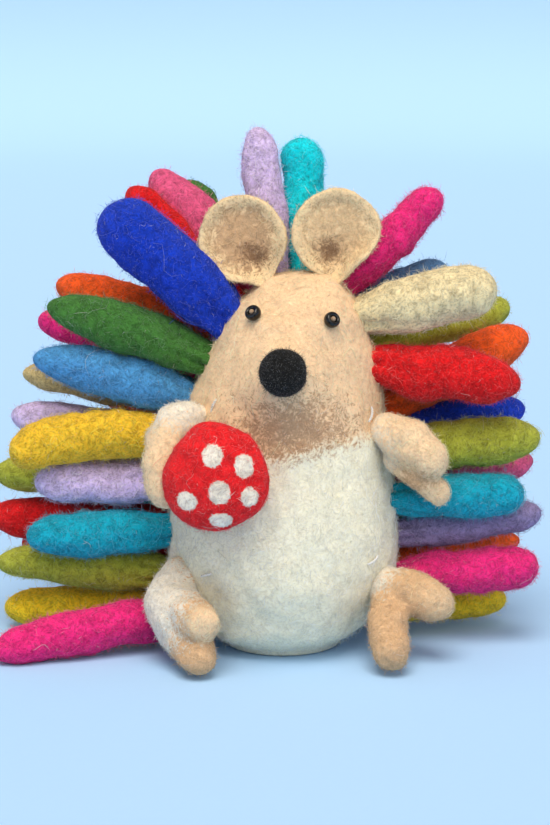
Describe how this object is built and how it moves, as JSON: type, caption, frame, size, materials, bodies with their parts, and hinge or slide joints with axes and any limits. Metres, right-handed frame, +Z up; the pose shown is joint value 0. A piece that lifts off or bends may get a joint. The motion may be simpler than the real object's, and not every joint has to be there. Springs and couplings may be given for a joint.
{
  "type": "felted hedgehog pin cushion",
  "caption": "Sitting felted wool hedgehog with a fan of coloured felt quills, bead eyes and a toadstool cap in one paw, used as a pin cushion.",
  "frame": {"origin": "centre of the flat seat under the body, on the surface the hedgehog sits on", "axes": "+Z up; the face looks towards -Y; +X is on the right of someone who faces it"},
  "size_m": [0.1409, 0.1073, 0.1311],
  "materials": {
    "bead_glass": "glossy black glass bead, opaque",
    "sewing_thread": "twisted cotton thread",
    "wool_aqua": "felted wool, matt and slightly hairy",
    "wool_beige": "felted wool, matt and slightly hairy",
    "wool_black": "felted wool, matt and slightly hairy",
    "wool_cream": "felted wool, matt and slightly hairy",
    "wool_crimson": "felted wool, matt and slightly hairy",
    "wool_denim": "felted wool, matt and slightly hairy",
    "wool_green": "felted wool, matt and slightly hairy",
    "wool_heather": "felted wool, matt and slightly hairy",
    "wool_ivory": "felted wool, matt and slightly hairy",
    "wool_lavender": "felted wool, matt and slightly hairy",
    "wool_mustard": "felted wool, matt and slightly hairy",
    "wool_olive": "felted wool, matt and slightly hairy",
    "wool_orange": "felted wool, matt and slightly hairy",
    "wool_pink": "felted wool, matt and slightly hairy",
    "wool_red": "felted wool, matt and slightly hairy",
    "wool_rose": "felted wool, matt and slightly hairy",
    "wool_royal": "felted wool, matt and slightly hairy",
    "wool_sky": "felted wool, matt and slightly hairy",
    "wool_straw": "felted wool, matt and slightly hairy",
    "wool_turquoise": "felted wool, matt and slightly hairy",
    "wool_yellow": "felted wool, matt and slightly hairy"
  },
  "bodies": {
    "body": {"body_felt": "wool_cream", "eye_left": "bead_glass", "eye_right": "bead_glass", "nose": "wool_black", "quill_left_back_1_yellow": "wool_yellow", "quill_left_back_2_red": "wool_red", "quill_left_back_3_olive": "wool_olive", "quill_left_back_4_lavender": "wool_lavender", "quill_left_back_5_straw": "wool_straw", "quill_left_back_6_pink": "wool_pink", "quill_left_back_7_orange": "wool_orange", "quill_left_back_8_red": "wool_red", "quill_left_back_9_rose": "wool_rose", "quill_left_rear_1_crimson": "wool_crimson", "quill_left_rear_2_red": "wool_red", "quill_left_rear_3_royal": "wool_royal", "quill_left_rear_4_turquoise": "wool_turquoise", "quill_left_rear_5_green": "wool_green", "quill_rear_1_sky": "wool_sky", "quill_rear_2_mustard": "wool_mustard", "quill_rear_3_pink": "wool_pink", "quill_rear_4_turquoise": "wool_turquoise", "quill_rear_5_olive": "wool_olive", "quill_rear_6_orange": "wool_orange", "quill_right_back_1_yellow": "wool_yellow", "quill_right_back_2_orange": "wool_orange", "quill_right_back_3_green": "wool_green", "quill_right_back_4_rose": "wool_rose", "quill_right_back_5_royal": "wool_royal", "quill_right_back_6_orange": "wool_orange", "quill_right_back_7_olive": "wool_olive", "quill_right_back_8_denim": "wool_denim", "quill_right_front_7_pink": "wool_pink", "thread_arm_left": "sewing_thread", "thread_arm_right": "sewing_thread", "thread_leg_left": "sewing_thread", "thread_leg_right": "sewing_thread"},
    "arm_left": {"arm_left": "wool_beige", "toadstool_cap": "wool_red"},
    "arm_right": {"arm_right": "wool_beige"},
    "leg_left": {"leg_left": "wool_beige"},
    "leg_right": {"leg_right": "wool_beige"},
    "ear_left": {"ear_left": "wool_beige"},
    "ear_right": {"ear_right": "wool_beige"},
    "quill_left_front_1_pink": {"quill_left_front_1_pink": "wool_pink"},
    "quill_left_front_2_olive": {"quill_left_front_2_olive": "wool_olive"},
    "quill_left_front_3_turquoise": {"quill_left_front_3_turquoise": "wool_turquoise"},
    "quill_left_front_4_lavender": {"quill_left_front_4_lavender": "wool_lavender"},
    "quill_left_front_5_mustard": {"quill_left_front_5_mustard": "wool_mustard"},
    "quill_left_front_6_sky": {"quill_left_front_6_sky": "wool_sky"},
    "quill_left_front_7_green": {"quill_left_front_7_green": "wool_green"},
    "quill_left_front_8_royal": {"quill_left_front_8_royal": "wool_royal"},
    "quill_right_front_1_pink": {"quill_right_front_1_pink": "wool_pink"},
    "quill_right_front_2_lavender": {"quill_right_front_2_lavender": "wool_heather"},
    "quill_right_front_3_turquoise": {"quill_right_front_3_turquoise": "wool_turquoise"},
    "quill_right_front_4_olive": {"quill_right_front_4_olive": "wool_olive"},
    "quill_right_front_5_red": {"quill_right_front_5_red": "wool_red"},
    "quill_right_front_6_ivory": {"quill_right_front_6_ivory": "wool_ivory"},
    "quill_crown_1_lavender": {"quill_crown_1_lavender": "wool_lavender"},
    "quill_crown_2_aqua": {"quill_crown_2_aqua": "wool_aqua"}
  },
  "joints": [
    {"name": "arm_left_lift", "type": "hinge", "parent": "body", "child": "arm_left", "pos_m": [-0.02031, -0.01133, 0.0619], "axis": [-0.4695, 0.8829, 0], "range_deg": [0, 22]},
    {"name": "arm_right_lift", "type": "hinge", "parent": "body", "child": "arm_right", "pos_m": [0.02333, -0.01008, 0.05765], "axis": [-0.4067, -0.9135, 0], "range_deg": [0, 40]},
    {"name": "leg_left_swivel", "type": "hinge", "parent": "body", "child": "leg_left", "pos_m": [-0.02272, -0.01533, 0.01795], "axis": [-0.829, -0.5592, 0], "range_deg": [0, 30]},
    {"name": "leg_right_swivel", "type": "hinge", "parent": "body", "child": "leg_right", "pos_m": [0.02488, -0.01213, 0.0189], "axis": [-0.8988, 0.4384, 0], "range_deg": [0, 30]},
    {"name": "ear_left_fold", "type": "hinge", "parent": "body", "child": "ear_left", "pos_m": [-0.00416, -0.00314, 0.09233], "axis": [0.8746, 0, 0.4848], "range_deg": [-8, 20], "stiffness_Nm_per_rad": 0.003},
    {"name": "ear_right_fold", "type": "hinge", "parent": "body", "child": "ear_right", "pos_m": [0.01296, -0.00396, 0.09254], "axis": [0.9998, 0, -0.0175], "range_deg": [-8, 20], "stiffness_Nm_per_rad": 0.003},
    {"name": "left_front_1_pink_flex", "type": "hinge", "parent": "body", "child": "quill_left_front_1_pink", "pos_m": [-0.02396, -0.00509, 0.00769], "axis": [-0.066, -0.0227, 0.9976], "range_deg": [0, 6], "stiffness_Nm_per_rad": 0.006},
    {"name": "left_front_2_olive_flex", "type": "hinge", "parent": "body", "child": "quill_left_front_2_olive", "pos_m": [-0.02856, 0.001, 0.0174], "axis": [0.052, -0.0055, 0.9986], "range_deg": [0, 6], "stiffness_Nm_per_rad": 0.006},
    {"name": "left_front_3_turquoise_flex", "type": "hinge", "parent": "body", "child": "quill_left_front_3_turquoise", "pos_m": [-0.02895, -0.00254, 0.0297], "axis": [-0.0174, -0.0015, 0.9998], "range_deg": [0, 6], "stiffness_Nm_per_rad": 0.006},
    {"name": "left_front_4_lavender_flex", "type": "hinge", "parent": "body", "child": "quill_left_front_4_lavender", "pos_m": [-0.02775, 0, 0.04144], "axis": [0.0174, -0.0006, 0.9998], "range_deg": [0, 6], "stiffness_Nm_per_rad": 0.006},
    {"name": "left_front_5_mustard_flex", "type": "hinge", "parent": "body", "child": "quill_left_front_5_mustard", "pos_m": [-0.02577, -0.00137, 0.05238], "axis": [0, 0, 1], "range_deg": [0, 6], "stiffness_Nm_per_rad": 0.006},
    {"name": "left_front_6_sky_flex", "type": "hinge", "parent": "body", "child": "quill_left_front_6_sky", "pos_m": [-0.02326, 0, 0.06274], "axis": [0.2419, 0, 0.9703], "range_deg": [0, 6], "stiffness_Nm_per_rad": 0.006},
    {"name": "left_front_7_green_flex", "type": "hinge", "parent": "body", "child": "quill_left_front_7_green", "pos_m": [-0.01985, -0.00076, 0.07276], "axis": [0.3418, 0.0119, 0.9397], "range_deg": [0, 6], "stiffness_Nm_per_rad": 0.006},
    {"name": "left_front_8_royal_flex", "type": "hinge", "parent": "body", "child": "quill_left_front_8_royal", "pos_m": [-0.01435, -0.00061, 0.08331], "axis": [0.4845, 0.0169, 0.8746], "range_deg": [0, 6], "stiffness_Nm_per_rad": 0.006},
    {"name": "right_front_1_pink_flex", "type": "hinge", "parent": "body", "child": "quill_right_front_1_pink", "pos_m": [0.02857, -0.0015, 0.01707], "axis": [0.0872, 0, -0.9962], "range_deg": [0, 6], "stiffness_Nm_per_rad": 0.006},
    {"name": "right_front_2_lavender_flex", "type": "hinge", "parent": "body", "child": "quill_right_front_2_lavender", "pos_m": [0.02928, 0.00204, 0.0276], "axis": [0.1386, 0.0121, -0.9903], "range_deg": [0, 6], "stiffness_Nm_per_rad": 0.006},
    {"name": "right_front_3_turquoise_flex", "type": "hinge", "parent": "body", "child": "quill_right_front_3_turquoise", "pos_m": [0.02827, -0.00296, 0.03788], "axis": [0.0523, -0.0027, -0.9986], "range_deg": [0, 6], "stiffness_Nm_per_rad": 0.006},
    {"name": "right_front_4_olive_flex", "type": "hinge", "parent": "body", "child": "quill_right_front_4_olive", "pos_m": [0.02659, 0, 0.04917], "axis": [0.1045, 0, -0.9945], "range_deg": [0, 6], "stiffness_Nm_per_rad": 0.006},
    {"name": "right_front_5_red_flex", "type": "hinge", "parent": "body", "child": "quill_right_front_5_red", "pos_m": [0.02422, -0.00399, 0.07136], "axis": [-0.1037, 0.0127, -0.9945], "range_deg": [0, 6], "stiffness_Nm_per_rad": 0.006},
    {"name": "right_front_6_ivory_flex", "type": "hinge", "parent": "body", "child": "quill_right_front_6_ivory", "pos_m": [0.02044, -0.00244, 0.08384], "axis": [0.1898, -0.0199, -0.9816], "range_deg": [0, 6], "stiffness_Nm_per_rad": 0.006},
    {"name": "crown_1_lavender_flex", "type": "hinge", "parent": "body", "child": "quill_crown_1_lavender", "pos_m": [-0.00209, 0.00556, 0.09302], "axis": [-0.809, -0.5878, 0], "range_deg": [0, 6], "stiffness_Nm_per_rad": 0.006},
    {"name": "crown_2_aqua_flex", "type": "hinge", "parent": "body", "child": "quill_crown_2_aqua", "pos_m": [0.00545, 0.01064, 0.09226], "axis": [-0.9994, -0.0349, 0], "range_deg": [0, 6], "stiffness_Nm_per_rad": 0.006}
  ]
}
